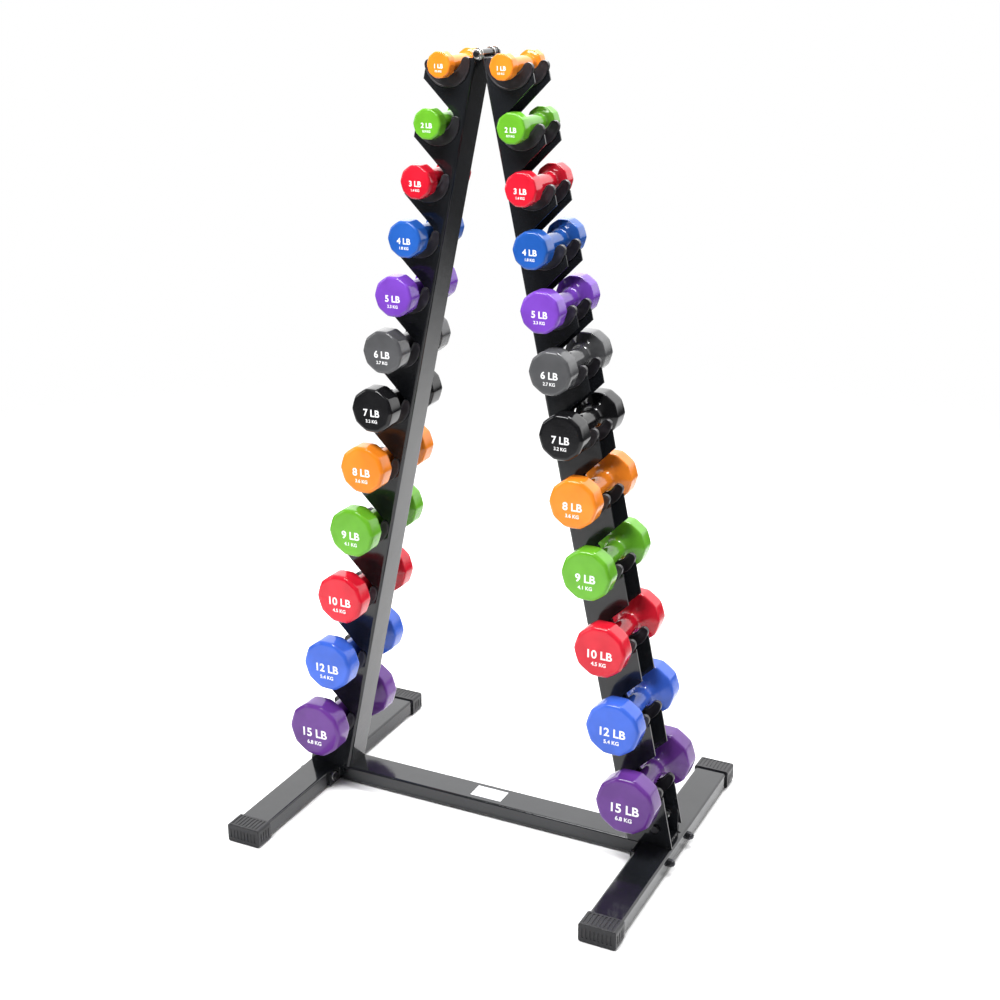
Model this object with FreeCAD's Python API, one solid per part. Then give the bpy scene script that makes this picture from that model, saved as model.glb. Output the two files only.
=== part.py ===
import FreeCAD, Part
import math, os

# A-frame dumbbell rack with twelve pairs of dumbbells, in millimetres.
# X runs across the A, Y from front to back, Z up. The origin is on the floor,
# under the middle of the rack. Pieces of the right half are modelled at +X.

# Legs and their end caps
leg_spacing = 689.0          # between the centre lines of the two legs
leg_width = 60.0
leg_height = 30.0
leg_wall = 2.0
leg_length = 602.0           # steel tube only, without its caps
tube_corner = 4.0            # outer corner radius of every tube
cap_side = 3.5               # cap wall beside the tube
cap_skin = 2.7               # cap wall under and over the tube
cap_end = 3.0                # cap wall across the tube's end
cap_depth = 38.0             # how far a cap reaches along the leg
cap_corner = 5.0
groove_count = 8
groove_width = 3.2
groove_depth = 0.9
groove_margin = 4.0          # plain border around the grooves of a cap

# Crossbar and its end plates
crossbar_width = 60.0
crossbar_wall = 2.0
end_plate_length = 130.0
end_plate_thickness = 4.0
label_length = 62.0
label_width = 35.0
label_thickness = 0.3

# Uprights: a bent web with a row of hooks down the front and the rear
web_width = 61.7
sheet = 3.0
bend_radius = 5.0            # outside radius of the bends
foot_inset = 57.3            # web face inboard of the leg's centre line, on the leg
top_offset = 3.6             # web face to the middle of the rack, at the top bolt

# Slots for the dumbbells, from the floor up
lowest_slot = 145.0
slot_pitches = [136, 136, 132, 121, 110, 104, 96, 96, 93, 92, 91]
grip_offset = 46.6           # web face to the line of grips, square to the web
grip_gap = 0.3               # under a grip at rest

# Saddle pads, which clip over the edge of each hook
pad_outer_radius = 41.0
lip_inset = 3.6              # hooks' outer edge short of the pads' outer radius
saddle_radius = 27.0
saddle_depth = 17.5          # pad centre down to the lowest point of the saddle
pad_wall = 2.5               # between the saddle and the edge of the sheet
pad_face = 2.5               # over each side of the sheet
inner_tip_angle = 180.0
outer_tip_angle = -11.0

# Hooks, measured from the pad's centre
throat_height = 40.0         # sloped edge above the slot, over the pad's centre
throat_slope = 45.0
throat_round = 8.0
lip_drop = 14.0              # top of the lip beside the pad's outer tip
top_edge_rise = 6.0          # plain top edge of the uppermost hook
corner_round = 3.0
rear_relief_depth = 10.0     # step at the foot of each rear hook plate
rear_relief_height = 20.0

# Dumbbells, lightest last: pounds, head diameter, head thickness, neck, grip diameter
dumbbell_sizes = [
    (15, 108, 40.5, 36.5, 35),
    (12, 98, 38, 32, 34),
    (10, 94, 34, 30, 34),
    (9, 90, 33.5, 28.5, 33),
    (8, 86, 34, 27, 33),
    (7, 79, 36, 24, 32),
    (6, 75, 35, 22, 32),
    (5, 70, 32, 20, 30),
    (4, 62, 30, 16, 30),
    (3, 56, 27, 13, 29),
    (2, 50, 23, 11, 28),
    (1, 42, 20, 8, 26),
]
neck_clearance = 0.65        # between a pad's face and the start of the neck
neck_blend = 0.8             # blend radius at the grip, as a share of the neck
shoulder_round = 0.12        # rounding at the back of a head, as a share of its radius
rim_round = 0.10             # rounding at the face of a head, as a share of its radius
facet_count = 10
facet_reach = 0.965          # flats of a head, as a share of its radius

# Top bolt and its sleeves
top_bolt_rise = 16.5         # above the uppermost grips
sleeve_diameter = 14.0
long_sleeve_length = 41.0
short_sleeve_length = 16.0
sleeve_gap = 0.5             # between the washers or a sleeve and the other upright's web
washer_thickness = 1.6
washer_diameter = 18.0
top_bolt_tail = 3.0          # thread that shows past the nut

# Other fasteners
bolt_diameter = 8.0
hole_clearance = 0.25        # radial, in every bolt hole
bolt_head_width = 13.0       # across the flats
bolt_head_height = 5.3
head_round = 1.6             # easing of heads and nuts at their ends
drum_reach = 0.57            # eased radius of a hexagon, as a share of its width
nut_height = 6.5
cap_nut_dome = 5.0           # dome height over a cap nut's hexagon
cap_nut_radius = 5.8
leg_bolt_spacing = 98.0      # front to rear
foot_bolt_height = 34.0      # above the leg
foot_bolt_offset = 59.7      # web face to the foot bolts, square to the web
foot_bracket_length = 44.0
foot_bracket_height = 52.0
foot_bracket_sheet = 3.0

# Derived places
vec = FreeCAD.Vector
leg_x = leg_spacing / 2
leg_bottom = cap_skin
leg_top = leg_bottom + leg_height
leg_inner_x = leg_x - leg_width / 2
leg_outer_x = leg_x + leg_width / 2
end_plate_x = leg_inner_x - end_plate_thickness
slot_heights = [lowest_slot + sum(slot_pitches[:i]) for i in range(len(dumbbell_sizes))]
top_bolt_z = slot_heights[-1] + top_bolt_rise
foot_x = leg_x - foot_inset
lean_run = (foot_x - top_offset) / (top_bolt_z - leg_top)
lean = math.atan(lean_run)
level = 1 / math.cos(lean)   # turns a distance square to the web into a level one
channel_depth = grip_offset + pad_outer_radius - lip_inset
plate_front = -web_width / 2
plate_back = web_width / 2 - sheet
pad_thickness = sheet + 2 * pad_face
pad_front = plate_front - pad_face
neck_start = -pad_front + neck_clearance
slot_radius = saddle_radius + pad_wall
saddle_rise = saddle_radius - saddle_depth


def web_x(z):
    """Where the inboard face of the right-hand web is at a height."""
    return foot_x - (z - leg_top) * lean_run


def grip_place(i):
    """Centre of the right-hand grip in slot i."""
    z = slot_heights[i]
    return web_x(z) + grip_offset * level, z


def pad_place(i):
    """Centre of the pads in slot i, so that the grip rests in the saddle."""
    x, z = grip_place(i)
    grip_radius = dumbbell_sizes[i][4] / 2
    return x, z + saddle_depth - grip_gap - grip_radius


def on_circle(centre, radius, degrees):
    """Point of a circle in the XZ plane."""
    turn = math.radians(degrees)
    return centre[0] + radius * math.cos(turn), centre[1] + radius * math.sin(turn)


def toward(start, end, distance):
    """Point at a distance from start on the line to end."""
    dx, dz = end[0] - start[0], end[1] - start[1]
    scale = distance / math.hypot(dx, dz)
    return start[0] + dx * scale, start[1] + dz * scale


def line(a, b):
    """Straight edge between two points of the XZ plane."""
    return Part.LineSegment(vec(a[0], 0, a[1]), vec(b[0], 0, b[1])).toShape()


def arc(a, middle, b):
    """Arc through three points of the XZ plane."""
    points = [vec(p[0], 0, p[1]) for p in (a, middle, b)]
    return Part.Arc(*points).toShape()


def rounded_edges(corners, radii):
    """Edges of an open path whose inner corners are rounded."""
    edges = []
    last = corners[0]
    for before, corner, after, radius in zip(corners, corners[1:], corners[2:], radii):
        first_turn = math.atan2(before[1] - corner[1], before[0] - corner[0])
        second_turn = math.atan2(after[1] - corner[1], after[0] - corner[0])
        half = abs((first_turn - second_turn + math.pi) % (2 * math.pi) - math.pi) / 2
        reach = radius / math.tan(half)
        start = toward(corner, before, reach)
        end = toward(corner, after, reach)
        between = ((start[0] + end[0]) / 2, (start[1] + end[1]) / 2)
        middle = toward(corner, between, radius / math.sin(half) - radius)
        edges += [line(last, start), arc(start, middle, end)]
        last = end
    return edges + [line(last, corners[-1])]


def flat_face(edges):
    """Face inside a closed outline."""
    return Part.Face(Part.Wire(Part.__sortEdges__(edges)))


def slab(edges, front, thickness):
    """Solid that runs back from a closed outline in the XZ plane."""
    solid = flat_face(edges).extrude(vec(0, thickness, 0))
    solid.translate(vec(0, front, 0))
    return solid


def polygon(points):
    """Edges of a closed straight-sided outline."""
    return [line(a, b) for a, b in zip(points, points[1:] + points[:1])]


def round_bar(start, axis, radius, length):
    """Plain cylinder."""
    return Part.makeCylinder(radius, length, start, axis)


def hexagon_bar(start, axis, across, length):
    """Hexagonal bar along X or Y."""
    corners = [on_circle((0, 0), across / math.sqrt(3), 60 * k) for k in range(6)]
    bar = slab(polygon(corners), 0, length)
    if axis.x:
        bar.rotate(vec(0, 0, 0), vec(0, 0, 1), -90)
    if axis.x < 0 or axis.y < 0:
        bar.rotate(vec(0, 0, 0), vec(0, 0, 1), 180)
    bar.translate(start)
    return bar


def rounded_bar(width, height, length, corner):
    """Bar along Y with rounded long edges, centred on X, standing on z = 0."""
    bar = Part.makeBox(width, length, height, vec(-width / 2, -length / 2, 0))
    long_edges = [e for e in bar.Edges if abs(e.tangentAt(0).y) > 0.9]
    return bar.makeFillet(corner, long_edges)


def tube(width, height, length, wall):
    """Rectangular tube along Y."""
    outside = rounded_bar(width, height, length, tube_corner)
    inside = rounded_bar(width - 2 * wall, height - 2 * wall, length, tube_corner - wall)
    inside.translate(vec(0, 0, wall))
    return outside.cut(inside)


def leg():
    """Right leg: a tube with two bolt holes through its sides."""
    solid = tube(leg_width, leg_height, leg_length, leg_wall)
    solid.translate(vec(leg_x, 0, leg_bottom))
    return solid.cut(leg_bolt_holes())


def leg_bolt_places():
    """Centres of the leg bolts, front then rear, in the YZ plane."""
    z = leg_bottom + leg_height / 2
    return [(side * leg_bolt_spacing / 2, z) for side in (-1, 1)]


def leg_bolt_holes():
    """Bars that cut the bolt holes through a leg and its end plate."""
    radius = bolt_diameter / 2 + hole_clearance
    start = end_plate_x - 1
    length = leg_outer_x + 1 - start
    axis = vec(1, 0, 0)
    bars = [round_bar(vec(start, y, z), axis, radius, length) for y, z in leg_bolt_places()]
    return Part.makeCompound(bars)


def end_plate():
    """Right end plate of the crossbar, flat against the leg."""
    corner = vec(end_plate_x, -end_plate_length / 2, leg_bottom)
    plate = Part.makeBox(end_plate_thickness, end_plate_length, leg_height, corner)
    upright_edges = [e for e in plate.Edges if abs(e.tangentAt(0).x) > 0.9]
    return plate.makeFillet(corner_round, upright_edges).cut(leg_bolt_holes())


def crossbar():
    """Tube between the two end plates."""
    solid = tube(crossbar_width, leg_height, 2 * end_plate_x, crossbar_wall)
    solid.rotate(vec(0, 0, 0), vec(0, 0, 1), 90)
    solid.translate(vec(0, 0, leg_bottom))
    return solid


def end_cap():
    """Ribbed cap over the front end of the right leg."""
    width = leg_width + 2 * cap_side
    height = leg_height + 2 * cap_skin
    cap = Part.makeBox(width, cap_depth, height, vec(-width / 2, 0, 0))
    cap = cap.makeFillet(cap_corner, [e for e in cap.Edges if abs(e.tangentAt(0).y) > 0.9])
    front_edges = [e for e in cap.Edges if e.BoundBox.YMax < 0.01]
    cap = cap.makeFillet(1.5, front_edges)
    pocket = rounded_bar(leg_width, leg_height, leg_length, tube_corner)
    pocket.translate(vec(0, cap_end + leg_length / 2, cap_skin))
    cap = cap.cut(pocket).cut(cap_grooves(width, height))
    cap.translate(vec(leg_x, -leg_length / 2 - cap_end, 0))
    return cap


def cap_grooves(width, height):
    """Grooves along the top of a cap, and upright ones on its front and sides."""
    run = cap_depth - 2 * groove_margin
    cuts = []
    pitch = (width - 2 * cap_corner) / groove_count
    tall = height - 2 * (groove_margin + cap_corner)
    for k in range(groove_count):
        x = -width / 2 + cap_corner + pitch * (k + 0.5) - groove_width / 2
        top = vec(x, groove_margin, height - groove_depth)
        cuts.append(Part.makeBox(groove_width, run, 2 * groove_depth, top))
        front = vec(x, -groove_depth, groove_margin + cap_corner)
        cuts.append(Part.makeBox(groove_width, 2 * groove_depth, tall, front))
    side_count = int(run // (2 * groove_width))
    for k in range(side_count):
        y = groove_margin + run * (k + 0.5) / side_count - groove_width / 2
        for x in (-width / 2 - groove_depth, width / 2 - groove_depth):
            low = vec(x, y, groove_margin + cap_corner)
            cuts.append(Part.makeBox(2 * groove_depth, groove_width, tall, low))
    return Part.makeCompound(cuts)


def upright_web():
    """Right web with its two bends, from the crossbar up to the sleeves."""
    half = web_width / 2
    inner = bend_radius - sheet
    cross = sheet * level
    flat = half - bend_radius
    curve = math.sqrt(0.5)
    loop = []

    def edge(*points):
        flat_points = [vec(x, y, 0) for x, y in points]
        curve_type = Part.LineSegment if len(points) == 2 else Part.Arc
        loop.append(curve_type(*flat_points).toShape())

    outer_mid = bend_radius * (1 - curve)
    inner_mid = cross + inner * (1 - curve)
    for side in (-1, 1):
        outer_end = (bend_radius, side * half)
        inner_end = (bend_radius, side * (half - sheet))
        inner_bulge = side * (half - sheet - inner * (1 - curve))
        edge((0, side * flat), (outer_mid, side * (half - outer_mid)), outer_end)
        edge(outer_end, inner_end)
        edge(inner_end, (inner_mid, inner_bulge), (cross, side * flat))
    edge((0, -flat), (0, flat))
    edge((cross, -flat), (cross, flat))
    section = flat_face(loop)
    rise = top_bolt_z - leg_top
    web = section.extrude(vec(-rise * lean_run, 0, rise))
    web.translate(vec(foot_x, 0, leg_top))
    return web


def sleeve_room(own_front, own_length):
    """Room that a web leaves for its own sleeve and for the other one."""
    axis = vec(0, 1, 0)
    own = round_bar(vec(0, own_front, top_bolt_z), axis, sleeve_diameter / 2, own_length)
    reach = web_width + 2
    around = washer_diameter / 2 + sleeve_gap
    other = round_bar(vec(0, -reach / 2, top_bolt_z), axis, around, reach)
    low = vec(-2 * around, own_front, top_bolt_z - 2 * around)
    span = Part.makeBox(4 * around, own_length, 4 * around, low)
    over_all = vec(-2 * around, -reach / 2, top_bolt_z)
    above = Part.makeBox(4 * around, reach, 2 * around, over_all)
    return other.cut(span).fuse(own).fuse(above)


def tip(angle, inset):
    """Centre and radius of a pad's round tip, less an inset."""
    turn = math.radians(angle)
    total = pad_outer_radius + saddle_radius
    distance = (total ** 2 - saddle_rise ** 2) / (2 * total - 2 * saddle_rise * math.sin(turn))
    return on_circle((0, 0), distance, angle), pad_outer_radius - distance - inset


def tip_arc(angle, inset):
    """Points of a tip's arc, from the pad's outer edge over to the saddle."""
    centre, radius = tip(angle, inset)
    saddle_centre = (0, saddle_rise)
    outside = on_circle((0, 0), pad_outer_radius - inset, angle)
    inside = toward(saddle_centre, centre, saddle_radius + inset)
    along = (outside[1] - inside[1], inside[0] - outside[0])
    if along[1] < 0:
        along = (-along[0], -along[1])
    over = toward(centre, (centre[0] + along[0], centre[1] + along[1]), radius)
    return outside, over, inside


def pad_outline():
    """Outline of a pad around its own centre."""
    inner_outside, inner_over, inner_inside = tip_arc(inner_tip_angle, 0)
    outer_outside, outer_over, outer_inside = tip_arc(outer_tip_angle, 0)
    return [
        arc(inner_outside, (0, -pad_outer_radius), outer_outside),
        arc(outer_outside, outer_over, outer_inside),
        arc(outer_inside, (0, -saddle_depth), inner_inside),
        arc(inner_inside, inner_over, inner_outside),
    ]


def throat_corner():
    """Where the round between the slot and the sloped edge touches both."""
    slope = math.radians(throat_slope)
    # The round's centre lies throat_round under the slope and inside the slot.
    drop = throat_height - throat_round / math.cos(slope) - saddle_rise
    reach = slot_radius - throat_round
    run = math.tan(slope)
    a, b, c = 1 + run ** 2, 2 * drop * run, drop ** 2 - reach ** 2
    x = (-b - math.sqrt(b ** 2 - 4 * a * c)) / (2 * a)
    centre = (x, saddle_rise + drop + run * x)
    on_slot = toward((0, saddle_rise), centre, slot_radius)
    on_slope = on_circle(centre, throat_round, 90 + throat_slope)
    return centre, on_slot, on_slope


def slot_outline(reach):
    """Outline of the space that a slot takes out of a hook plate."""
    edge_radius = pad_outer_radius - pad_wall
    outside, over, inside = tip_arc(outer_tip_angle, pad_wall)
    lip = (math.sqrt(edge_radius ** 2 - lip_drop ** 2), -lip_drop)
    lip_angle = -math.degrees(math.asin(lip_drop / edge_radius))
    lip_mid = on_circle((0, 0), edge_radius, (outer_tip_angle + lip_angle) / 2)
    centre, on_slot, on_slope = throat_corner()
    toward_corner = (on_slot[0] + on_slope[0], on_slot[1] + on_slope[1])
    round_mid = toward(centre, (toward_corner[0] / 2, toward_corner[1] / 2), throat_round)
    far_top = (reach, throat_height + reach * math.tan(math.radians(throat_slope)))
    return [
        line((reach, -lip_drop), lip),
        arc(lip, lip_mid, outside),
        arc(outside, over, inside),
        arc(inside, (0, saddle_rise - slot_radius), on_slot),
        arc(on_slot, round_mid, on_slope),
        line(on_slope, far_top),
        line(far_top, (reach, -lip_drop)),
    ]


def hook_plate():
    """Right front hook plate: a leaning strip with a slot for each dumbbell."""
    top = pad_place(len(dumbbell_sizes) - 1)[1] + top_edge_rise
    inner = bend_radius
    outer = channel_depth * level
    strip = polygon([
        (web_x(leg_top) + inner, leg_top),
        (web_x(leg_top) + outer, leg_top),
        (web_x(top) + outer, top),
        (web_x(top) + inner, top),
    ])
    outline = flat_face(strip)
    reach = 2 * channel_depth
    for i in range(len(dumbbell_sizes)):
        x, z = pad_place(i)
        slot = flat_face(slot_outline(reach))
        slot.translate(vec(x, 0, z))
        outline = outline.cut(slot)
    plate = outline.Faces[0].extrude(vec(0, sheet, 0))
    plate.translate(vec(0, plate_front, 0))
    return plate.cut(foot_bolt_hole())


def foot_bolt_place():
    """Centre of the right foot bolts in the XZ plane."""
    z = leg_top + foot_bolt_height
    return web_x(z) + foot_bolt_offset * level, z


def foot_bolt_hole():
    """Bar that cuts the foot bolt's hole through both hook plates and the bracket."""
    x, z = foot_bolt_place()
    radius = bolt_diameter / 2 + hole_clearance
    return round_bar(vec(x, -web_width, z), vec(0, 1, 0), radius, 2 * web_width)


def rear_relief():
    """Step at the outer foot of a rear hook plate."""
    outer = web_x(leg_top) + channel_depth * level
    low = vec(outer - rear_relief_depth, plate_back - 1, leg_top - 1)
    return Part.makeBox(2 * rear_relief_depth, sheet + 2, rear_relief_height + 1, low)


def pads(plate, front):
    """Twelve pads, each clipped over one hook of a plate."""
    clips = []
    for i in range(len(dumbbell_sizes)):
        x, z = pad_place(i)
        clip = slab(pad_outline(), front, pad_thickness)
        clip.translate(vec(x, 0, z))
        clips.append(clip.cut(plate))
    return clips


def foot_bracket():
    """Right U bracket on the leg, between the two hook plates."""
    x, z = foot_bolt_place()
    outside = web_width - 2 * sheet
    low = vec(x - foot_bracket_length / 2, -outside / 2, leg_top)
    block = Part.makeBox(foot_bracket_length, outside, foot_bracket_height, low)
    top_edges = [e for e in block.Edges if e.BoundBox.ZMin > leg_top + 1]
    top_corners = [e for e in top_edges if abs(e.tangentAt(0).y) > 0.9]
    block = block.makeFillet(foot_bracket_length / 4, top_corners)
    room_width = outside - 2 * foot_bracket_sheet
    room_low = vec(low.x - 1, -room_width / 2, leg_top + foot_bracket_sheet)
    room = Part.makeBox(foot_bracket_length + 2, room_width, foot_bracket_height, room_low)
    return block.cut(room).cut(foot_bolt_hole())


def drum(start, axis, across, length, eased_ends):
    """Round blank that eases the corners of a hexagon at one or both ends."""
    blank = round_bar(start, axis, across * drum_reach, length)
    ends = [start, start + axis * length][:eased_ends]
    rims = [e for e in blank.Edges for p in ends if (e.BoundBox.Center - p).Length < 0.1]
    return blank.makeFillet(head_round, rims)


def hex_bolt(seat, axis, length):
    """Hexagon bolt whose head sits on a seat and whose shank runs along the axis."""
    head_start = seat - axis * bolt_head_height
    head = hexagon_bar(head_start, axis, bolt_head_width, bolt_head_height)
    head = head.common(drum(head_start, axis, bolt_head_width, bolt_head_height, 1))
    return head.fuse(round_bar(seat, axis, bolt_diameter / 2, length)).removeSplitter()


def hex_nut(seat, axis):
    """Hexagon nut that sits on a seat, tight on its bolt."""
    nut = hexagon_bar(seat, axis, bolt_head_width, nut_height)
    nut = nut.common(drum(seat, axis, bolt_head_width, nut_height, 2))
    return nut.cut(round_bar(seat - axis, axis, bolt_diameter / 2, nut_height + 2))


def cap_nut(seat, axis, tail):
    """Domed nut over the end of a bolt that reaches a tail's length into it."""
    base = hexagon_bar(seat, axis, bolt_head_width, nut_height)
    base = base.common(drum(seat + axis * nut_height, -axis, bolt_head_width, nut_height, 1))
    height = nut_height + cap_nut_dome
    dome = round_bar(seat, axis, cap_nut_radius, height)
    rim = [e for e in dome.Edges if (e.BoundBox.Center - seat - axis * height).Length < 0.1]
    dome = dome.makeFillet(cap_nut_dome - 0.5, rim)
    nut = base.fuse(dome).removeSplitter()
    return nut.cut(round_bar(seat - axis, axis, bolt_diameter / 2, tail + 1))


def washer(seat, axis, hole_radius):
    """Flat washer that sits on a seat."""
    disc = round_bar(seat, axis, washer_diameter / 2, washer_thickness)
    return disc.cut(round_bar(seat - axis, axis, hole_radius, washer_thickness + 2))


def leg_fasteners():
    """Bolts, washers and domed nuts that clamp the right leg to its end plate."""
    bolts, washers, nuts = [], [], []
    axis = vec(1, 0, 0)
    tail = nut_height
    for y, z in leg_bolt_places():
        inner_seat = vec(end_plate_x, y, z)
        outer_seat = vec(leg_outer_x, y, z)
        head_seat = inner_seat - axis * washer_thickness
        length = leg_outer_x - end_plate_x + washer_thickness + tail
        bolts.append(hex_bolt(head_seat, axis, length))
        washers.append(washer(head_seat, axis, bolt_diameter / 2))
        nuts.append(cap_nut(outer_seat, axis, tail))
    return bolts, washers, nuts


def foot_fasteners():
    """Bolts and nuts that hold the two hook plates to the foot bracket."""
    bolts, nuts = [], []
    x, z = foot_bolt_place()
    for side in (-1, 1):
        axis = vec(0, -side, 0)
        seat = vec(x, side * web_width / 2, z)
        grip = sheet + foot_bracket_sheet
        bolts.append(hex_bolt(seat, axis, grip + nut_height + 2))
        nuts.append(hex_nut(seat + axis * grip, axis))
    return bolts, nuts


def top_joint():
    """Sleeves, bolt, nut and washers that join the tops of the two uprights."""
    axis = vec(0, 1, 0)
    bore = bolt_diameter / 2 + hole_clearance
    stack = long_sleeve_length + washer_thickness + short_sleeve_length
    long_front = -stack / 2
    short_front = long_front + long_sleeve_length + washer_thickness

    def at(y):
        return vec(0, y, top_bolt_z)

    def sleeve(front, length):
        body = round_bar(at(front), axis, sleeve_diameter / 2, length)
        return body.cut(round_bar(at(front - 1), axis, bore, length + 2))

    rear = short_front + short_sleeve_length
    radius = bolt_diameter / 2
    washers = [
        washer(at(long_front - washer_thickness), axis, radius),
        washer(at(long_front + long_sleeve_length), axis, radius),
        washer(at(rear), axis, radius),
    ]
    nut_seat = long_front - washer_thickness
    nut = hex_nut(at(nut_seat), -axis)
    head_seat = rear + washer_thickness
    length = head_seat - nut_seat + nut_height + top_bolt_tail
    bolt = hex_bolt(at(head_seat), -axis, length)
    return {
        "long": (sleeve(long_front, long_sleeve_length), long_front, long_sleeve_length),
        "short": (sleeve(short_front, short_sleeve_length), short_front, short_sleeve_length),
        "washers": washers,
        "nut": nut,
        "bolt": bolt,
    }


def dumbbell(size):
    """Dumbbell along Y, centred on the origin: a turned body with faceted heads."""
    _, head_diameter, head_thickness, neck, grip_diameter = size
    grip, head = grip_diameter / 2, head_diameter / 2
    blend = neck * neck_blend
    back = neck_start + neck
    face = back + head_thickness
    # The neck leaves the grip on an arc and runs straight to the head's back edge.
    centre = (neck_start, grip + blend)
    distance = math.hypot(neck, head - centre[1])
    turn = math.atan2(head - centre[1], neck) - math.acos(blend / distance)
    leave = on_circle(centre, blend, math.degrees(turn))
    middle = on_circle(centre, blend, (math.degrees(turn) - 90) / 2)
    rounding = [head * shoulder_round, head * rim_round]
    half = [line((0, grip), (neck_start, grip)), arc((neck_start, grip), middle, leave)]
    half += rounded_edges([leave, (back, head), (face, head), (face, 0)], rounding)
    half.append(line((face, 0), (0, 0)))
    half.append(line((0, 0), (0, grip)))
    turned = flat_face(half).revolve(vec(0, 0, 0), vec(1, 0, 0), 360)
    turned = turned.fuse(turned.mirror(vec(0, 0, 0), vec(1, 0, 0))).removeSplitter()
    turned.rotate(vec(0, 0, 0), vec(0, 0, 1), 90)
    step = 360 / facet_count
    across = head * facet_reach / math.cos(math.radians(step / 2))
    corners = [on_circle((0, 0), across, 90 + step * (k + 0.5)) for k in range(facet_count)]
    facets = slab(polygon(corners), -face - 1, 2 * face + 2)
    return turned.common(facets)


def other_side(shape):
    """The same piece for the left half of the rack."""
    return shape.mirror(vec(0, 0, 0), vec(1, 0, 0))


def other_end(shape):
    """The same piece at the rear."""
    return shape.mirror(vec(0, 0, 0), vec(0, 1, 0))


def save(name, *solids):
    """Write one node, which may be a group of separate solids."""
    shape = solids[0] if len(solids) == 1 else Part.makeCompound(list(solids))
    shape.exportStep("parts/" + name + ".step")


def build_base():
    """Legs, caps, crossbar, its end plates and the blank label."""
    right_leg = leg()
    save("right_leg", right_leg)
    save("left_leg", other_side(right_leg))
    cap = end_cap()
    save("right_front_cap", cap)
    save("right_rear_cap", other_end(cap))
    save("left_front_cap", other_side(cap))
    save("left_rear_cap", other_end(other_side(cap)))
    save("crossbar", crossbar())
    plate = end_plate()
    save("right_end_plate", plate)
    save("left_end_plate", other_side(plate))
    corner = vec(-label_length / 2, -label_width / 2, leg_top)
    save("blank_label", Part.makeBox(label_length, label_width, label_thickness, corner))


def build_uprights():
    """Webs, hook plates, pads and the joint at the top."""
    top = top_joint()
    web = upright_web()
    long_sleeve, long_front, long_length = top["long"]
    short_sleeve, short_front, short_length = top["short"]
    save("right_web", web.cut(sleeve_room(short_front, short_length)))
    save("left_web", other_side(web).cut(sleeve_room(long_front, long_length)))
    save("left_top_sleeve", long_sleeve)
    save("right_top_sleeve", short_sleeve)
    save("top_washers", *top["washers"])
    save("top_nut", top["nut"])
    save("top_bolt", top["bolt"])
    front_plate = hook_plate()
    rear_plate = front_plate.copy()
    rear_plate.translate(vec(0, plate_back - plate_front, 0))
    front_pads = pads(front_plate, pad_front)
    rear_pads = pads(rear_plate, plate_back - pad_face)
    rear_plate = rear_plate.cut(rear_relief())
    for end, plate, clips in (("front", front_plate, front_pads), ("rear", rear_plate, rear_pads)):
        save("right_" + end + "_hook_plate", plate)
        save("left_" + end + "_hook_plate", other_side(plate))
        save("right_" + end + "_pads", *clips)
        save("left_" + end + "_pads", *[other_side(clip) for clip in clips])


def build_fasteners():
    """Foot brackets, and the bolts, nuts and washers of both halves."""
    bracket = foot_bracket()
    save("right_foot_bracket", bracket)
    save("left_foot_bracket", other_side(bracket))
    leg_bolts, leg_washers, leg_nuts = leg_fasteners()
    foot_bolts, foot_nuts = foot_fasteners()
    groups = {"leg_bolts": leg_bolts, "leg_washers": leg_washers, "leg_cap_nuts": leg_nuts,
              "foot_bolts": foot_bolts, "foot_nuts": foot_nuts}
    for name, solids in groups.items():
        save(name, *solids, *[other_side(solid) for solid in solids])


def build_dumbbells():
    """One pair of dumbbells for each slot."""
    for i, size in enumerate(dumbbell_sizes):
        x, z = grip_place(i)
        weight = dumbbell(size)
        for side, place in (("left", -x), ("right", x)):
            placed = weight.copy()
            placed.translate(vec(place, 0, z))
            save(side + "_dumbbell_" + str(size[0]) + "lb", placed)


os.makedirs("parts", exist_ok=True)
build_base()
build_uprights()
build_fasteners()
build_dumbbells()
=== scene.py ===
import math

import bmesh
import bpy
from mathutils import Matrix, Vector


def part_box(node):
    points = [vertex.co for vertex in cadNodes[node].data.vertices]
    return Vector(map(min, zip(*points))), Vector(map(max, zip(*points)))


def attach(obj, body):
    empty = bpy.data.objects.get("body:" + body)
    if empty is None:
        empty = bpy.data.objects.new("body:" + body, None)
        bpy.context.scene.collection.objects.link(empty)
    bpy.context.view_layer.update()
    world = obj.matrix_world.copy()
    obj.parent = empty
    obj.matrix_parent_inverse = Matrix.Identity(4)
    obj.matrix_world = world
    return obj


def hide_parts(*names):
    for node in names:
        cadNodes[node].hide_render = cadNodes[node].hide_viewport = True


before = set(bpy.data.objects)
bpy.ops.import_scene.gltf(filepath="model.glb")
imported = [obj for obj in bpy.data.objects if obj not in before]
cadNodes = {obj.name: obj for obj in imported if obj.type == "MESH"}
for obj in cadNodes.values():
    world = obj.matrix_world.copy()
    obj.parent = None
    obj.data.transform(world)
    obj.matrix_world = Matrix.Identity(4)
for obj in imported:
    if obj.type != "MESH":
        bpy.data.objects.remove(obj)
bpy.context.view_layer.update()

mm = 0.001
print("frame loaded:", len(cadNodes), "steel, rubber and vinyl nodes")


class Amount:
    # a number inside a shader, so that a finish reads as plain sums
    def __init__(self, shading, socket):
        self.shading = shading
        self.socket = socket

    def __add__(self, other):
        return self.shading.combine("ADD", self, other)

    def __sub__(self, other):
        return self.shading.combine("SUBTRACT", self, other)

    def __rsub__(self, other):
        return self.shading.combine("SUBTRACT", other, self)

    def __mul__(self, other):
        return self.shading.combine("MULTIPLY", self, other)

    __radd__ = __add__
    __rmul__ = __mul__


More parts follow.
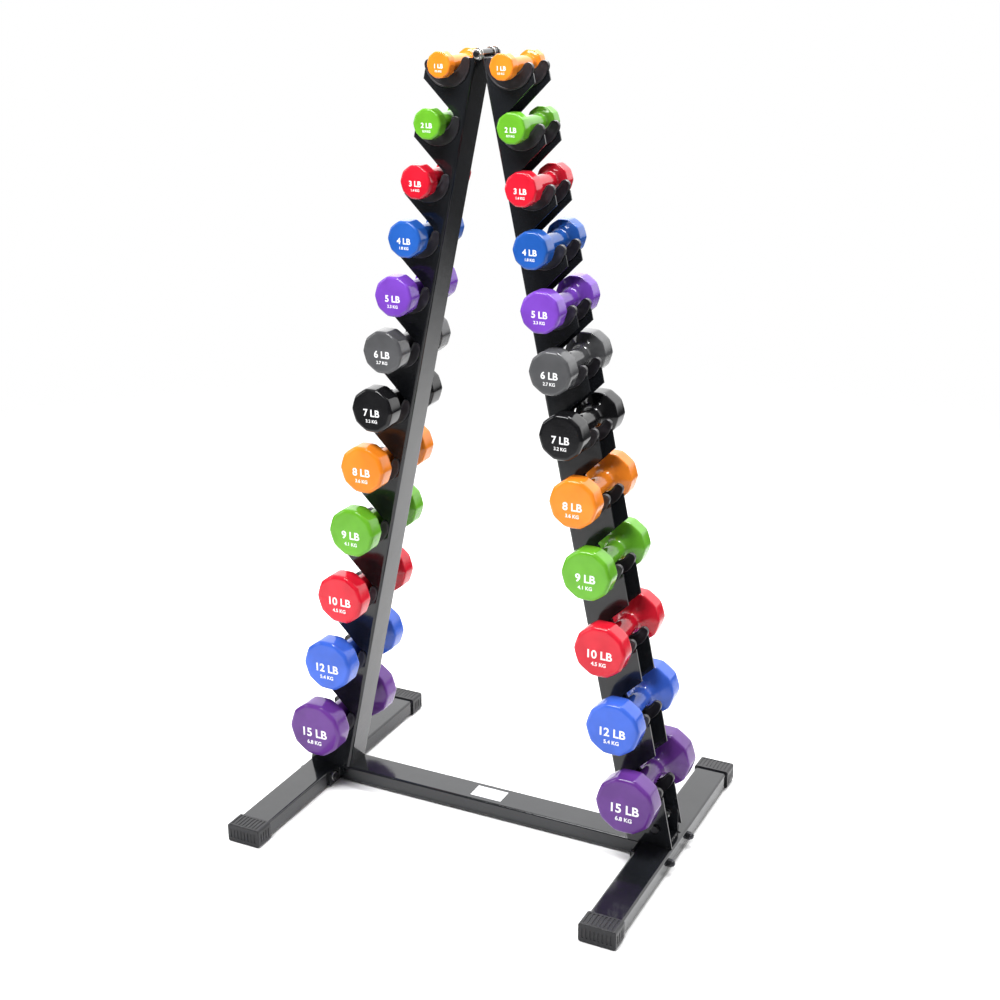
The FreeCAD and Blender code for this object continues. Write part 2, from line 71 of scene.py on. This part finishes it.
class Shading:
    # the nodes of a material or of the world
    def __init__(self, tree):
        self.tree = tree

    def put(self, socket, value):
        if isinstance(value, Amount):
            self.tree.links.new(value.socket, socket)
        else:
            socket.default_value = value

    def add(self, kind, settings, values, out=0):
        node = self.tree.nodes.new(kind)
        for label, value in settings.items():
            setattr(node, label, value)
        for label, value in values.items():
            self.put(node.inputs[label], value)
        return Amount(self, node.outputs[out])

    def combine(self, operation, first, second):
        return self.add("ShaderNodeMath", {"operation": operation}, {0: first, 1: second})

    def between(self, value, low, high):
        values = {"Value": value, "From Min": low, "From Max": high}
        return self.add("ShaderNodeMapRange", {"interpolation_type": "SMOOTHSTEP"}, values)


class Finish(Shading):
    # one material with its main shader
    def __init__(self, name, fixed):
        self.material = bpy.data.materials.new(name)
        self.material.use_nodes = True
        super().__init__(self.material.node_tree)
        self.shader = self.tree.nodes["Principled BSDF"]
        for label, value in fixed.items():
            self.shader.inputs[label].default_value = value

    def place(self):
        return self.add("ShaderNodeTexCoord", {}, {}, "Object")

    def stretched(self, place, scale):
        return self.add("ShaderNodeMapping", {}, {"Vector": place, "Scale": scale})

    def noise(self, place, scale, detail=2, rough=0.5):
        values = {"Vector": place, "Scale": scale, "Detail": detail, "Roughness": rough}
        return self.add("ShaderNodeTexNoise", {}, values)

    def mix(self, share, first, second):
        values = {0: share, 6: (*first, 1) if isinstance(first, tuple) else first,
                  7: (*second, 1) if isinstance(second, tuple) else second}
        return self.add("ShaderNodeMix", {"data_type": "RGBA"}, values, 2)

    def feed(self, label, value):
        self.put(self.shader.inputs[label], value)

    def relief(self, height, depth):
        bump = self.add("ShaderNodeBump", {}, {"Height": height, "Distance": depth, "Strength": 1.0})
        self.feed("Normal", bump)


# finishes

def glossPaint():
    look = {"black": (0.009, 0.010, 0.012), "dusty": (0.05, 0.052, 0.055), "peelScale": 420,
            "swellScale": 26, "dustScale": 1500, "filmScale": 9, "gloss": 0.1, "relief": 0.00008}
    paint = Finish("glossBlackPaint", {"Coat Weight": 0.08, "Coat Roughness": 0.05,
                                       "Specular IOR Level": 0.42})
    place = paint.place()
    peel = paint.noise(place, look["peelScale"], 2)
    swell = paint.noise(place, look["swellScale"], 2)
    dust = paint.between(paint.noise(place, look["dustScale"], 3), 0.66, 0.8)
    film = paint.between(paint.noise(place, look["filmScale"], 5, 0.65), 0.45, 0.75)
    paint.feed("Base Color", paint.mix(dust * 0.4 + film * 0.08, look["black"], look["dusty"]))
    paint.feed("Roughness", look["gloss"] + film * 0.08 + dust * 0.3)
    paint.relief(peel * 0.5 + swell * 4.0, look["relief"])
    return paint.material


def vinyl(name, colour):
    look = {"grainScale": 1300, "lumpScale": 45, "cloudScale": 16, "speckScale": 2600,
            "shade": 0.84, "tint": 1.06, "gloss": 0.07, "relief": 0.0001}
    dip = Finish(name, {"Specular IOR Level": 0.4, "IOR": 1.45})
    place = dip.place()
    grain = dip.noise(place, look["grainScale"], 2)
    lumps = dip.noise(place, look["lumpScale"], 2)
    clouds = dip.between(dip.noise(place, look["cloudScale"], 3), 0.3, 0.7)
    specks = dip.between(dip.noise(place, look["speckScale"], 1), 0.7, 0.8)
    deep = tuple(c * look["shade"] for c in colour)
    light = tuple(min(1, c * look["tint"] + 0.004) for c in colour)
    dip.feed("Base Color", dip.mix(specks * 0.25, dip.mix(clouds, deep, light), deep))
    dip.feed("Roughness", look["gloss"] + clouds * 0.05 + specks * 0.2)
    dip.relief(grain * 0.1 + lumps * 1.6, look["relief"])
    return dip.material


def ribbedPlastic():
    look = {"dark": (0.014, 0.014, 0.016), "pale": (0.035, 0.035, 0.038),
            "grainScale": 2200, "scuffScale": 240, "gloss": 0.34, "relief": 0.00005}
    cap = Finish("capPlastic", {"Specular IOR Level": 0.3})
    place = cap.place()
    grain = cap.noise(place, look["grainScale"], 3)
    streaks = cap.noise(cap.stretched(place, (1, 0.15, 1)), look["scuffScale"], 4)
    scuffs = cap.between(streaks, 0.52, 0.75)
    cap.feed("Base Color", cap.mix(scuffs * 0.7, look["dark"], look["pale"]))
    cap.feed("Roughness", look["gloss"] + grain * 0.12 - scuffs * 0.05)
    cap.relief(grain, look["relief"])
    return cap.material


def padRubber():
    look = {"dark": (0.012, 0.011, 0.014), "rubbed": (0.045, 0.042, 0.052), "grainScale": 1500,
            "rubScale": 70, "gloss": 0.34, "relief": 0.00005}
    pad = Finish("padRubber", {"Specular IOR Level": 0.5})
    place = pad.place()
    grain = pad.noise(place, look["grainScale"], 3)
    rubbed = pad.between(pad.noise(place, look["rubScale"], 4, 0.6), 0.48, 0.72)
    pad.feed("Base Color", pad.mix(rubbed * 0.55, look["dark"], look["rubbed"]))
    pad.feed("Roughness", look["gloss"] + grain * 0.14 + rubbed * 0.08)
    pad.relief(grain + rubbed * 0.4, look["relief"])
    return pad.material


def plated(name, colour, rough, turned):
    look = {"scratchScale": 900, "dullScale": 120, "wornShade": 0.55, "relief": 0.00002}
    metal = Finish(name, {"Metallic": 1.0})
    place = metal.place()
    scratches = metal.noise(metal.stretched(place, turned), look["scratchScale"], 4)
    dull = metal.between(metal.noise(place, look["dullScale"], 3), 0.4, 0.7)
    worn = tuple(c * look["wornShade"] for c in colour)
    metal.feed("Base Color", metal.mix(dull * 0.6, colour, worn))
    metal.feed("Roughness", rough + scratches * 0.12 + dull * 0.1)
    metal.relief(scratches, look["relief"])
    return metal.material


def labelFilm():
    look = {"film": (0.7, 0.71, 0.72), "rubbed": (0.5, 0.51, 0.53), "rubScale": 60,
            "creaseScale": 300, "gloss": 0.32, "relief": 0.00003}
    label = Finish("labelFilm", {"Coat Weight": 0.3, "Coat Roughness": 0.2})
    place = label.place()
    rubbed = label.between(label.noise(place, look["rubScale"], 5, 0.7), 0.5, 0.8)
    creases = label.noise(label.stretched(place, (1, 0.2, 1)), look["creaseScale"], 3)
    label.feed("Base Color", label.mix(rubbed * 0.5, look["film"], look["rubbed"]))
    label.feed("Roughness", look["gloss"] + rubbed * 0.2)
    label.relief(creases, look["relief"])
    return label.material


def whiteInk():
    look = {"ink": (0.86, 0.86, 0.87), "thin": (0.7, 0.7, 0.72), "pinholeScale": 1800,
            "gloss": 0.35, "relief": 0.00002}
    ink = Finish("whiteInk", {"Specular IOR Level": 0.4})
    place = ink.place()
    pinholes = ink.between(ink.noise(place, look["pinholeScale"], 3), 0.6, 0.72)
    ink.feed("Base Color", ink.mix(pinholes, look["ink"], look["thin"]))
    ink.feed("Roughness", look["gloss"] + pinholes * 0.2)
    ink.relief(pinholes, look["relief"])
    return ink.material


vinylColours = {
    15: ("purple_vinyl", (0.108, 0.028, 0.215)),
    12: ("bright_blue_vinyl", (0.040, 0.118, 0.58)),
    10: ("red_vinyl", (0.63, 0.010, 0.028)),
    9: ("green_vinyl", (0.125, 0.40, 0.022)),
    8: ("orange_vinyl", (0.86, 0.235, 0.016)),
    7: ("black_vinyl", (0.005, 0.005, 0.006)),
    6: ("grey_vinyl", (0.082, 0.083, 0.087)),
    5: ("violet_vinyl", (0.172, 0.052, 0.45)),
    4: ("blue_vinyl", (0.016, 0.098, 0.42)),
    3: ("red_vinyl", None),
    2: ("green_vinyl", None),
    1: ("orange_vinyl", None),
}
paint = glossPaint()
plastic = ribbedPlastic()
rubber = padRubber()
film = labelFilm()
ink = whiteInk()
zinc = plated("zincPlate", (0.78, 0.78, 0.76), 0.2, (1, 6, 1))
blackSteel = plated("blackOxide", (0.055, 0.055, 0.06), 0.3, (6, 1, 6))
vinyls = {}
for slotName, colour in vinylColours.values():
    if slotName not in vinyls:
        vinyls[slotName] = vinyl(slotName.replace("_vinyl", "Vinyl"), colour)
print("finishes ready:", len(bpy.data.materials))


# mesh helpers

def newPiece(name, verts, faces, material, body, smooth=True):
    mesh = bpy.data.meshes.new(name)
    mesh.from_pydata(verts, [], faces)
    mesh.validate()
    work = bmesh.new()
    work.from_mesh(mesh)
    bmesh.ops.recalc_face_normals(work, faces=work.faces)
    for face in work.faces:
        face.smooth = smooth
    work.to_mesh(mesh)
    work.free()
    mesh.materials.append(material)
    piece = bpy.data.objects.new(name, mesh)
    bpy.context.scene.collection.objects.link(piece)
    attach(piece, body)
    return piece


def arcPoints(centre, radius, start, end, steps):
    points = []
    for k in range(steps + 1):
        turn = math.radians(start + (end - start) * k / steps)
        points.append((centre[0] + radius * math.cos(turn), centre[1] + radius * math.sin(turn)))
    return points


def ease(value, low, high):
    share = min(1, max(0, (value - low) / (high - low)))
    return share * share * (3 - 2 * share)


# dumbbells

dumbbellShape = {
    "neckStart": 34.0,
    "neckBlend": 0.8,
    "shoulderRound": 0.12,
    "rimRound": 0.14,
    "facets": 10,
    "flatReach": 0.964,
    "softCorners": 0.034,
    "sectors": 120,
    "faceRings": (0.96, 0.7, 0.4, 0.15),
    "roundUpTo": 0.6,
    "facetedFrom": 0.97,
}
dumbbellSizes = {
    # pounds: head thickness, neck length and grip diameter
    15: (40.5, 36.5, 35),
    12: (38, 32, 34),
    10: (34, 30, 34),
    9: (33.5, 28.5, 33),
    8: (34, 27, 33),
    7: (36, 24, 32),
    6: (35, 22, 32),
    5: (32, 20, 30),
    4: (30, 16, 30),
    3: (27, 13, 29),
    2: (23, 11, 28),
    1: (20, 8, 26),
}


def roundedCorner(before, corner, after, radius, steps):
    toBefore = (Vector(before) - Vector(corner)).normalized()
    toAfter = (Vector(after) - Vector(corner)).normalized()
    half = toBefore.angle(toAfter) / 2
    middle = (toBefore + toAfter).normalized()
    centre = Vector(corner) + middle * (radius / math.sin(half))
    start = Vector(corner) + toBefore * (radius / math.tan(half)) - centre
    end = Vector(corner) + toAfter * (radius / math.tan(half)) - centre
    swing = start.angle(end)
    points = []
    for k in range(steps + 1):
        share = k / steps
        first = math.sin((1 - share) * swing) / math.sin(swing)
        second = math.sin(share * swing) / math.sin(swing)
        points.append(tuple(centre + start * first + end * second))
    return points


def headProfile(pounds, headRadius):
    shape = dumbbellShape
    thickness, neck, gripDiameter = dumbbellSizes[pounds]
    grip = gripDiameter / 2
    blend = neck * shape["neckBlend"]
    back = shape["neckStart"] + neck
    face = back + thickness
    centre = (shape["neckStart"], grip + blend)
    distance = math.hypot(neck, headRadius - centre[1])
    turn = math.atan2(headRadius - centre[1], neck) - math.acos(blend / distance)
    points = [(shape["neckStart"] * k / 6, grip) for k in range(6)]
    points += arcPoints(centre, blend, -90, math.degrees(turn), 8)
    leave = points[-1]
    shoulder = roundedCorner(leave, (back, headRadius), (face, headRadius),
                             headRadius * shape["shoulderRound"], 8)
    for k in (1, 2, 3):
        share = k / 4
        points.append(tuple(leave[i] + (shoulder[0][i] - leave[i]) * share for i in (0, 1)))
    points += shoulder
    rim = roundedCorner((back, headRadius), (face, headRadius), (face, 0),
                        headRadius * shape["rimRound"], 7)
    for k in (1, 2, 3):
        share = k / 4
        points.append(tuple(shoulder[-1][i] + (rim[0][i] - shoulder[-1][i]) * share for i in (0, 1)))
    points += rim
    for share in shape["faceRings"]:
        points.append((face, rim[-1][1] * share))
    return points, rim[0][0]


def softLeast(flat):
    # the lesser of a flat's reach and one, with a soft change between them
    soft = dumbbellShape["softCorners"]
    return -soft * math.log(math.exp(-flat / soft) + math.exp(-1.0 / soft))


def facetShare(turn):
    # how far a head reaches at an angle, as a share of its radius
    shape = dumbbellShape
    step = 2 * math.pi / shape["facets"]
    off = (turn - math.pi / 2 + step / 2) % step - step / 2
    here = softLeast(shape["flatReach"] / math.cos(off))
    atCorner = softLeast(shape["flatReach"] / math.cos(step / 2))
    return here / atCorner


def makeDumbbell(side, pounds):
    node = f"{side}_dumbbell_{pounds}lb"
    body = f"{side}_{pounds}lb"
    low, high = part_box(node)
    centre = (low + high) / 2
    headRadius = (high.x - low.x) / 2 / mm
    points, rimStart = headProfile(pounds, headRadius)
    ring = [(-y, r) for y, r in reversed(points[1:])] + points
    shape = dumbbellShape
    sectors = shape["sectors"]
    verts = []
    for y, radius in ring:
        onFace = abs(y) > rimStart
        share = ease(radius / headRadius, shape["roundUpTo"], shape["facetedFrom"])
        share = 1 if onFace else share
        for k in range(sectors):
            turn = 2 * math.pi * k / sectors
            reach = radius * (1 - share * (1 - facetShare(turn))) * mm
            verts.append((centre.x + reach * math.cos(turn), centre.y + y * mm,
                          centre.z + reach * math.sin(turn)))
    faces = []
    for j in range(len(ring) - 1):
        for k in range(sectors):
            after = (k + 1) % sectors
            faces.append((j * sectors + k, j * sectors + after,
                          (j + 1) * sectors + after, (j + 1) * sectors + k))
    for j, y in ((0, ring[0][0]), (len(ring) - 1, ring[-1][0])):
        verts.append((centre.x, centre.y + y * mm, centre.z))
        for k in range(sectors):
            faces.append((j * sectors + k, j * sectors + (k + 1) % sectors, len(verts) - 1))
    slotName = vinylColours[pounds][0]
    piece = newPiece(f"{side}Dumbbell{pounds}", verts, faces, vinyls[slotName], body)
    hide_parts(node)
    makeMarks(side, pounds, centre, headRadius * mm, ring[-1][0] * mm, body)


markShape = {"poundsHeight": 0.44, "kilogramsHeight": 0.2, "poundsDrop": 0.1, "kilogramsDrop": 0.46,
             "bold": 0.022, "thickness": 0.00007, "sunk": 0.00004, "kilogramsPerPound": 0.4536}


def letters(text, height, bold, thickness):
    curve = bpy.data.curves.new("mark", "FONT")
    curve.body = text
    curve.size = height
    curve.offset = bold * height
    curve.extrude = thickness
    curve.resolution_u = 6
    curve.align_x = "CENTER"
    curve.align_y = "CENTER"
    holder = bpy.data.objects.new("mark", curve)
    mesh = bpy.data.meshes.new_from_object(holder)
    bpy.data.objects.remove(holder)
    return mesh


def makeMarks(side, pounds, centre, headRadius, face, body):
    # a plain weight in pounds on both faces, and in kilograms below it
    work = bmesh.new()
    kilograms = pounds * markShape["kilogramsPerPound"]
    rows = ((f"{pounds} LB", markShape["poundsHeight"], markShape["poundsDrop"]),
            (f"{kilograms:.1f} KG", markShape["kilogramsHeight"], markShape["kilogramsDrop"]))
    for text, height, drop in rows:
        mesh = letters(text, height * headRadius, markShape["bold"], markShape["thickness"])
        for end in (-1, 1):
            stand = Matrix.Rotation(math.radians(90), 4, "X")
            turn = Matrix.Rotation(math.radians(0 if end < 0 else 180), 4, "Z")
            out = centre.y + end * (face - markShape["sunk"] + markShape["thickness"])
            shift = Matrix.Translation((centre.x, out, centre.z - drop * headRadius))
            copy = mesh.copy()
            copy.transform(shift @ turn @ stand)
            work.from_mesh(copy)
    bmesh.ops.remove_doubles(work, verts=work.verts, dist=1e-7)
    bmesh.ops.recalc_face_normals(work, faces=work.faces)
    mesh = bpy.data.meshes.new("marks")
    work.to_mesh(mesh)
    work.free()
    mesh.materials.append(ink)
    marks = bpy.data.objects.new(f"{side}Marks{pounds}", mesh)
    bpy.context.scene.collection.objects.link(marks)
    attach(marks, body)


for pounds in dumbbellSizes:
    for side in ("left", "right"):
        makeDumbbell(side, pounds)
print("dumbbells made:", 2 * len(dumbbellSizes))


# saddle pads

padShape = {"outerRadius": 41.0, "saddleRadius": 27.0, "saddleDepth": 17.5, "innerTip": 180.0,
            "outerTip": -11.0, "gripGap": 0.3, "rim": 2.2, "rounding": 1.0, "recess": 0.6}


def padTip(angle):
    shape = padShape
    rise = shape["saddleRadius"] - shape["saddleDepth"]
    total = shape["outerRadius"] + shape["saddleRadius"]
    turn = math.radians(angle)
    distance = (total ** 2 - rise ** 2) / (2 * total - 2 * rise * math.sin(turn))
    centre = (distance * math.cos(turn), distance * math.sin(turn))
    toSaddle = math.degrees(math.atan2(rise - centre[1], -centre[0]))
    return centre, shape["outerRadius"] - distance, toSaddle


def padLoop(inset):
    shape = padShape
    rise = shape["saddleRadius"] - shape["saddleDepth"]
    outerCentre, outerRadius, outerTurn = padTip(shape["outerTip"])
    innerCentre, innerRadius, innerTurn = padTip(shape["innerTip"])
    loop = arcPoints((0, 0), shape["outerRadius"] - inset,
                     shape["innerTip"], 360 + shape["outerTip"], 44)
    loop += arcPoints(outerCentre, outerRadius - inset, shape["outerTip"], outerTurn, 12)[1:]
    loop += arcPoints((0, rise), shape["saddleRadius"] + inset,
                      outerTurn - 180, innerTurn - 180, 34)[1:]
    loop += arcPoints(innerCentre, innerRadius - inset, innerTurn, shape["innerTip"], 12)[1:-1]
    return loop


def padLayers(thickness):
    shape = padShape
    layers = [(shape["rim"] + 1.6, shape["recess"]), (shape["rim"] + 0.7, shape["recess"]),
              (shape["rim"] + 0.25, shape["recess"] * 0.5), (shape["rim"], 0.0)]
    layers.append((shape["rounding"] + 0.3, 0.0))
    for k in range(5):
        turn = math.radians(90 * k / 4)
        layers.append((shape["rounding"] * (1 - math.sin(turn)),
                       shape["rounding"] * (1 - math.cos(turn))))
    layers.append((0.0, thickness * 0.3))
    return layers + [(inset, thickness - depth) for inset, depth in reversed(layers)]


def makePads(side, end):
    node = f"{side}_{end}_pads"
    low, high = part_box(node)
    thickness = (high.y - low.y) / mm
    flip = -1 if side == "left" else 1
    layers = padLayers(thickness)
    verts, faces = [], []
    for pounds, (_, _, gripDiameter) in dumbbellSizes.items():
        rest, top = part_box(f"{side}_dumbbell_{pounds}lb")
        grip = (rest + top) / 2
        lift = (padShape["saddleDepth"] - padShape["gripGap"] - gripDiameter / 2) * mm
        first = len(verts)
        loops = [(padLoop(inset), depth) for inset, depth in layers]
        for loop, depth in loops:
            for x, z in loop:
                verts.append((grip.x + flip * x * mm, low.y + depth * mm, grip.z + lift + z * mm))
        count = len(loops[0][0])
        for j in range(len(loops) - 1):
            for k in range(count):
                after = (k + 1) % count
                row = first + j * count
                faces.append((row + k, row + after, row + count + after, row + count + k))
        faces.append(tuple(range(first, first + count)))
        last = first + (len(loops) - 1) * count
        faces.append(tuple(reversed(range(last, last + count))))
    piece = newPiece(f"{side}{end.capitalize()}Pads", verts, faces, rubber, "rack")
    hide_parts(node)


for side in ("left", "right"):
    for end in ("front", "rear"):
        makePads(side, end)
print("saddle pads made")


# weld beads on the crossbar and the foot brackets

weld = {"radius": 2.1, "ripple": 0.16, "pitch": 1.9, "wander": 0.08, "steps": 6, "sectors": 12,
        "barInset": 3, "topInset": 5, "footInset": 3, "stubReach": 5, "stubOffset": 1.5}


def addBead(start, end, verts, faces):
    # a rippled bead from one point to another, half sunk in the corner it fills
    start, end = Vector(start), Vector(end)
    along = (end - start).normalized()
    across = along.orthogonal().normalized()
    up = along.cross(across)
    rings = int((end - start).length / weld["pitch"]) * weld["steps"]
    first = len(verts)
    for j in range(rings + 1):
        share = j / rings
        ripple = 1 - weld["ripple"] * abs(math.sin(math.pi * j / weld["steps"]))
        closing = math.sqrt(min(1, max(0.02, min(share, 1 - share) * rings / weld["steps"])))
        wander = 1 + weld["wander"] * math.sin(5.1 * j / weld["steps"] + start.x)
        radius = weld["radius"] * ripple * closing * wander
        for k in range(weld["sectors"]):
            turn = 2 * math.pi * k / weld["sectors"]
            point = start + (end - start) * share
            point = point + (across * math.cos(turn) + up * math.sin(turn)) * radius
            verts.append(point * mm)
    count = weld["sectors"]
    for j in range(rings):
        for k in range(count):
            after = (k + 1) % count
            row = first + j * count
            faces.append((row + k, row + after, row + count + after, row + count + k))
    last = first + rings * count
    faces.append(tuple(range(first, first + count)))
    faces.append(tuple(reversed(range(last, last + count))))


def makeWelds(side):
    verts, faces = [], []
    plateLow, plateHigh = (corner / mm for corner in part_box(f"{side}_end_plate"))
    barLow, barHigh = (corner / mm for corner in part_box("crossbar"))
    joint = plateLow.x if side == "right" else plateHigh.x
    for y in (barLow.y, barHigh.y):
        addBead((joint, y, barLow.z + weld["barInset"]), (joint, y, barHigh.z - weld["barInset"]),
                verts, faces)
    addBead((joint, barLow.y + weld["topInset"], barHigh.z),
            (joint, barHigh.y - weld["topInset"], barHigh.z), verts, faces)
    footLow, footHigh = (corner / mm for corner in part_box(f"{side}_foot_bracket"))
    for x in (footLow.x, footHigh.x):
        addBead((x, footLow.y + weld["footInset"], footLow.z),
                (x, footHigh.y - weld["footInset"], footLow.z), verts, faces)
        for y in (footLow.y - weld["stubOffset"], footHigh.y + weld["stubOffset"]):
            addBead((x - weld["stubReach"], y, footLow.z), (x + weld["stubReach"], y, footLow.z),
                    verts, faces)
    newPiece(f"{side}WeldBeads", verts, faces, paint, "rack")


for side in ("left", "right"):
    makeWelds(side)


# the top bolt's thread

thread = {"radius": 4.0, "height": 0.35, "pitch": 1.25, "steps": 28}


def makeThread():
    # one ridge wound round the tail, from the nut to just short of its end
    low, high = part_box("top_bolt")
    nutLow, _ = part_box("top_nut")
    middle = (low + high) / 2 / mm
    start, end = nutLow.y / mm - 0.2, low.y / mm + 0.8
    turns = (start - end) / thread["pitch"]
    count = int(turns * thread["steps"])
    half = thread["pitch"] * 0.42
    verts, faces = [], []
    for k in range(count + 1):
        turn = 2 * math.pi * k / thread["steps"]
        y = start + (end - start) * k / count
        taper = min(1, k / 8, (count - k) / 8)
        for shift, reach in ((-half, -0.1), (0, thread["height"] * taper - 0.05), (half, -0.1)):
            radius = thread["radius"] + reach
            verts.append(Vector((middle.x + radius * math.cos(turn), y + shift,
                                 middle.z + radius * math.sin(turn))) * mm)
    for k in range(count):
        for corner in range(3):
            after = (corner + 1) % 3
            faces.append((3 * k + corner, 3 * k + after, 3 * k + 3 + after, 3 * k + 3 + corner))
    faces.append((0, 1, 2))
    faces.append((3 * count + 2, 3 * count + 1, 3 * count))
    newPiece("topBoltThread", verts, faces, blackSteel, "rack", False)


makeThread()
print("weld beads and thread made")


# steel, caps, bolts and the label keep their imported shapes

nodeFinishes = {
    # edge rounding in millimetres, material, nodes
    "steel": (0.5, paint, ["left_leg", "right_leg", "crossbar", "left_end_plate", "right_end_plate",
                           "left_foot_bracket", "right_foot_bracket", "left_web", "right_web",
                           "left_front_hook_plate", "left_rear_hook_plate", "right_front_hook_plate",
                           "right_rear_hook_plate"]),
    "sleeves": (0.3, paint, ["left_top_sleeve", "right_top_sleeve"]),
    "caps": (0.5, plastic, ["left_front_cap", "left_rear_cap", "right_front_cap", "right_rear_cap"]),
    "label": (0, film, ["blank_label"]),
    "zinc": (0.3, zinc, ["top_nut", "top_washers", "foot_nuts", "leg_washers"]),
    "black": (0.3, blackSteel, ["top_bolt", "leg_bolts", "leg_cap_nuts", "foot_bolts"]),
}


def finishNode(name, rounding, material):
    node = cadNodes[name]
    node.data.materials.clear()
    node.data.materials.append(material)
    if rounding:
        weld = node.modifiers.new("joined", "WELD")
        weld.merge_threshold = 0.00001
        bevel = node.modifiers.new("easedEdges", "BEVEL")
        bevel.width = rounding * mm
        bevel.segments = 2
        bevel.limit_method = "ANGLE"
        bevel.angle_limit = math.radians(40)
        bevel.harden_normals = False
        node.modifiers.new("evenShading", "WEIGHTED_NORMAL")


for rounding, material, names in nodeFinishes.values():
    for name in names:
        finishNode(name, rounding, material)
print("steel, caps and bolts finished")


# studio

studio = {"floorRadius": 3.4, "fadeStart": 1.1, "fadeEnd": 3.2, "dim": 0.12, "back": 2.2, "top": 0.3}


def makeFloor():
    floorLook = Finish("paleFloor", {"Roughness": 0.7, "Specular IOR Level": 0.1})
    place = floorLook.place()
    mottle = floorLook.noise(place, 3, 4)
    away = floorLook.add("ShaderNodeVectorMath", {"operation": "LENGTH"}, {0: place}, "Value")
    floorLook.feed("Base Color", floorLook.mix(mottle, (0.9, 0.9, 0.9), (0.92, 0.92, 0.92)))
    floorLook.feed("Alpha", 1 - floorLook.between(away, studio["fadeStart"], studio["fadeEnd"]))
    mesh = bpy.data.meshes.new("floor")
    work = bmesh.new()
    bmesh.ops.create_circle(work, cap_ends=True, segments=96, radius=studio["floorRadius"])
    work.to_mesh(mesh)
    work.free()
    mesh.materials.append(floorLook.material)
    floor = bpy.data.objects.new("floor", mesh)
    floor.location = (0, 0, -0.0004)
    bpy.context.scene.collection.objects.link(floor)


def makeWorld():
    # white to look at, but what the paint mirrors is dim in front and bright behind the rack
    world = bpy.data.worlds.new("studioRoom")
    bpy.context.scene.world = world
    world.use_nodes = True
    world.node_tree.nodes.clear()
    room = Shading(world.node_tree)
    place = room.add("ShaderNodeTexCoord", {}, {}, "Generated")
    back = room.add("ShaderNodeSeparateXYZ", {}, {0: place}, "Y")
    up = room.add("ShaderNodeSeparateXYZ", {}, {0: place}, "Z")
    behind = room.between(back, 0.1, 0.75) * studio["back"]
    overhead = room.between(up, 0.3, 0.95) * studio["top"] + studio["dim"]
    strength = behind * room.between(up, -0.08, 0.08) + overhead
    white = (1, 1, 1, 1)
    lit = room.add("ShaderNodeBackground", {}, {"Color": white, "Strength": strength})
    seen = room.add("ShaderNodeBackground", {}, {"Color": white, "Strength": 1.0})
    ray = room.add("ShaderNodeLightPath", {}, {}, "Is Camera Ray")
    mixed = room.add("ShaderNodeMixShader", {}, {0: ray, 1: lit, 2: seen})
    room.put(world.node_tree.nodes.new("ShaderNodeOutputWorld").inputs["Surface"], mixed)


softboxes = {
    # place, the point it aims at, size and watts
    "overheadSoftbox": ((-0.3, -1.5, 3.1), (0, 0, 0.6), (1.8, 0.8), 122),
    "rearSoftbox": ((0.1, 1.5, 2.8), (0, 0.4, 0.0), (1.6, 0.5), 85),
    "sideSoftbox": ((-2.8, -1.6, 1.6), (0, 0, 0.6), (1.0, 1.6), 30),
}


def makeLight(name, place, aim, size, power):
    lamp = bpy.data.lights.new(name, "AREA")
    lamp.shape = "RECTANGLE"
    lamp.size, lamp.size_y = size
    lamp.energy = power
    holder = bpy.data.objects.new(name, lamp)
    holder.location = place
    holder.rotation_euler = (Vector(aim) - Vector(place)).to_track_quat("-Z", "Y").to_euler()
    bpy.context.scene.collection.objects.link(holder)


view = {"lens": 55.75, "shift": (-0.0033, -0.0007), "place": (1.13508, -2.27527, 1.53209),
        "lookDown": 19.77, "turnLeft": 25.93, "farthest": 60}


def makeCamera():
    lens = bpy.data.cameras.new("camera")
    lens.lens = view["lens"]
    lens.sensor_width = 36
    lens.shift_x, lens.shift_y = view["shift"]
    lens.clip_end = view["farthest"]
    camera = bpy.data.objects.new("camera", lens)
    camera.location = view["place"]
    camera.rotation_euler = (math.radians(90 - view["lookDown"]), 0, math.radians(view["turnLeft"]))
    bpy.context.scene.collection.objects.link(camera)
    bpy.context.scene.camera = camera


makeFloor()
makeWorld()
for name, softbox in softboxes.items():
    makeLight(name, *softbox)
makeCamera()
bpy.context.scene.view_settings.view_transform = "Standard"
print("studio ready")
